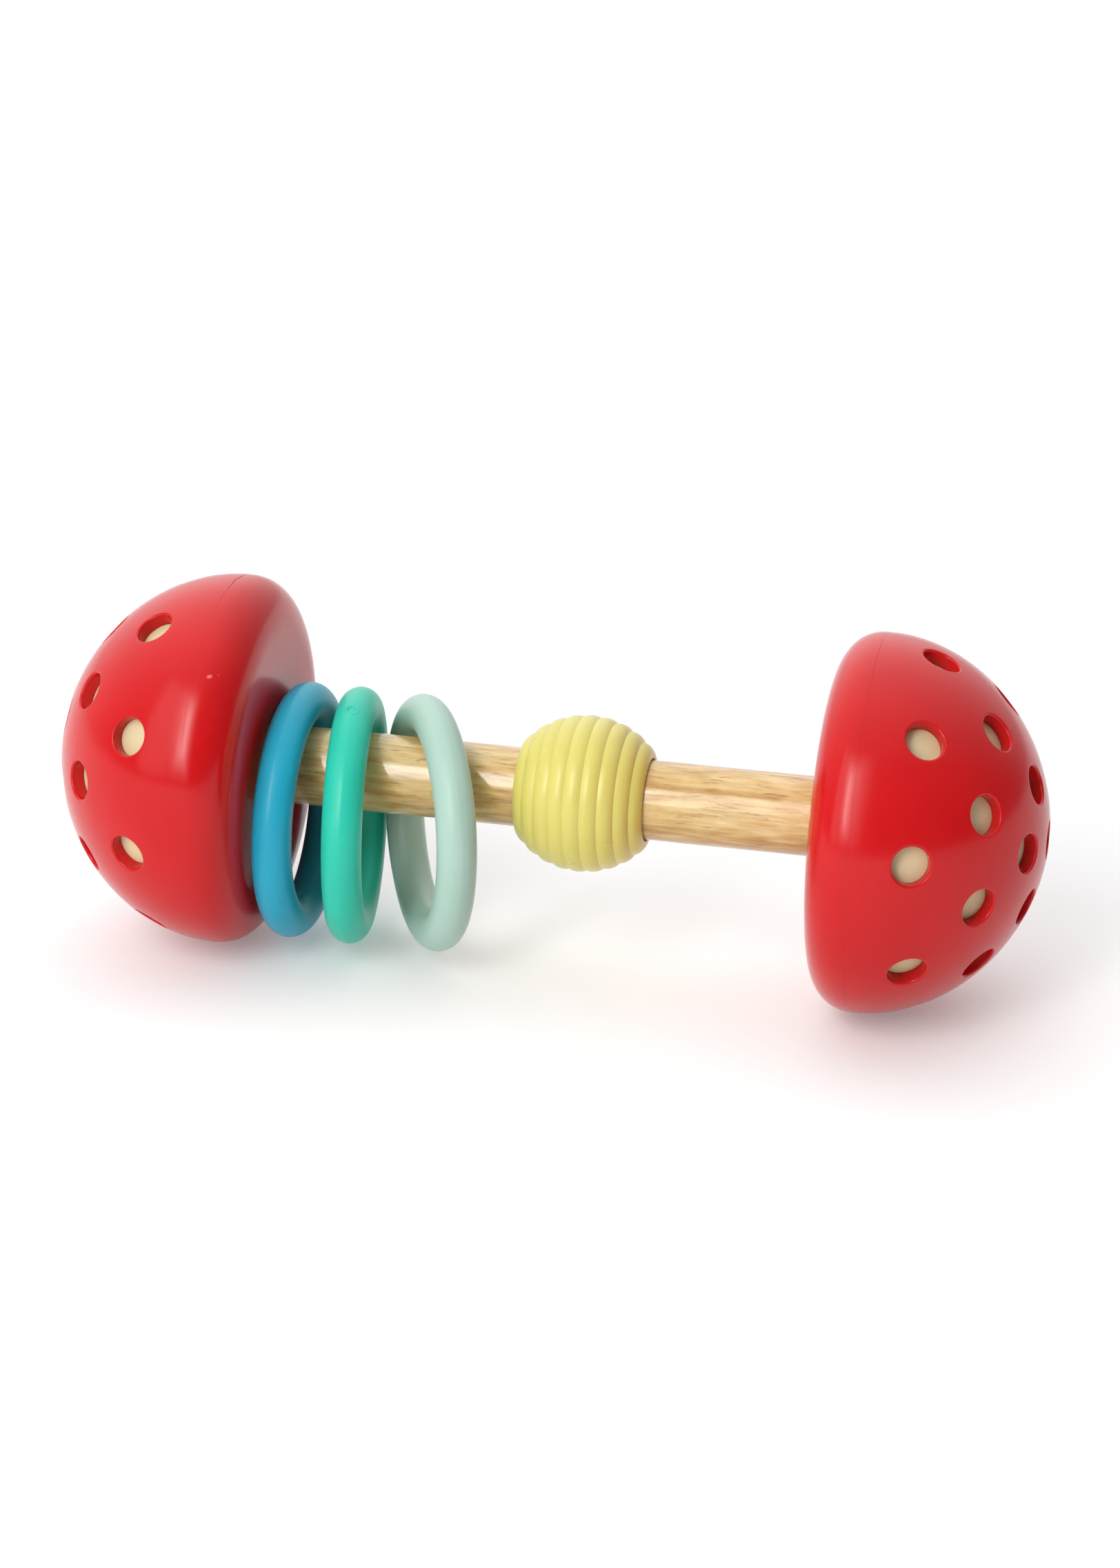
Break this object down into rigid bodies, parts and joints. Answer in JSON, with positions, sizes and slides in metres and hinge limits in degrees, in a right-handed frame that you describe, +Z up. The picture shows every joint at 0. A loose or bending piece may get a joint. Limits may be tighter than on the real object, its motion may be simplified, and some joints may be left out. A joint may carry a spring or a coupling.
{
  "type": "baby rattle",
  "caption": "Dumbbell baby rattle: a wooden handle with a round perforated bead-filled cap at each end, loose rings and a ribbed ball on the handle.",
  "frame": {"origin": "on the handle's axis, midway between the flat back faces of the two caps, which is the centre of the whole rattle", "axes": "+X along the handle towards the cap away from the rings, -Y is the front, +Z up with the rings hanging down"},
  "size_m": [0.1594, 0.06, 0.06],
  "materials": {
    "varnished_wood": "clear varnish, glossy",
    "red_plastic": "smooth moulded, semi-gloss",
    "cream_plastic": "moulded, matt",
    "steel": "zinc plated",
    "bead_plastic": "moulded",
    "blue_plastic": "smooth moulded, semi-gloss",
    "teal_plastic": "smooth moulded, semi-gloss",
    "mint_plastic": "smooth moulded, satin",
    "yellow_plastic": "satin, ribbed"
  },
  "bodies": {
    "handle": {"handle_dowel": "varnished_wood", "left_cap_dome": "red_plastic", "left_cap_back": "red_plastic", "left_hole_liner": "cream_plastic", "left_chamber_plate": "cream_plastic", "left_cap_washer": "steel", "left_cap_screw": "steel", "right_cap_dome": "red_plastic", "right_cap_back": "red_plastic", "right_hole_liner": "cream_plastic", "right_chamber_plate": "cream_plastic", "right_cap_washer": "steel", "right_cap_screw": "steel"},
    "ring_blue": {"ring_blue": "blue_plastic"},
    "ring_teal": {"ring_teal": "teal_plastic"},
    "ring_mint": {"ring_mint": "mint_plastic"},
    "ribbed_ball": {"ribbed_ball": "yellow_plastic"},
    "left_beads": {"left_bead_1": "bead_plastic", "left_bead_2": "bead_plastic", "left_bead_3": "bead_plastic", "left_bead_4": "bead_plastic", "left_bead_5": "bead_plastic", "left_bead_6": "bead_plastic"},
    "right_beads": {"right_bead_1": "bead_plastic", "right_bead_2": "bead_plastic", "right_bead_3": "bead_plastic", "right_bead_4": "bead_plastic", "right_bead_5": "bead_plastic", "right_bead_6": "bead_plastic"}
  },
  "joints": [
    {"name": "ring_blue_slide", "type": "slide", "parent": "handle", "child": "ring_blue", "axis": [1, 0, 0], "range_m": [0, 0.0085]},
    {"name": "ring_teal_slide", "type": "slide", "parent": "ring_blue", "child": "ring_teal", "axis": [1, 0, 0], "range_m": [0, 0.0085]},
    {"name": "ring_mint_slide", "type": "slide", "parent": "ring_teal", "child": "ring_mint", "axis": [1, 0, 0], "range_m": [0, 0.0085]},
    {"name": "ribbed_ball_slide", "type": "slide", "parent": "handle", "child": "ribbed_ball", "axis": [1, 0, 0], "range_m": [-0.0085, 0.0278]},
    {"name": "left_beads_roll", "type": "hinge", "parent": "handle", "child": "left_beads", "pos_m": [-0.064, 0, 0], "axis": [1, 0, 0], "continuous": true},
    {"name": "right_beads_roll", "type": "hinge", "parent": "handle", "child": "right_beads", "pos_m": [0.064, 0, 0], "axis": [1, 0, 0], "continuous": true}
  ]
}
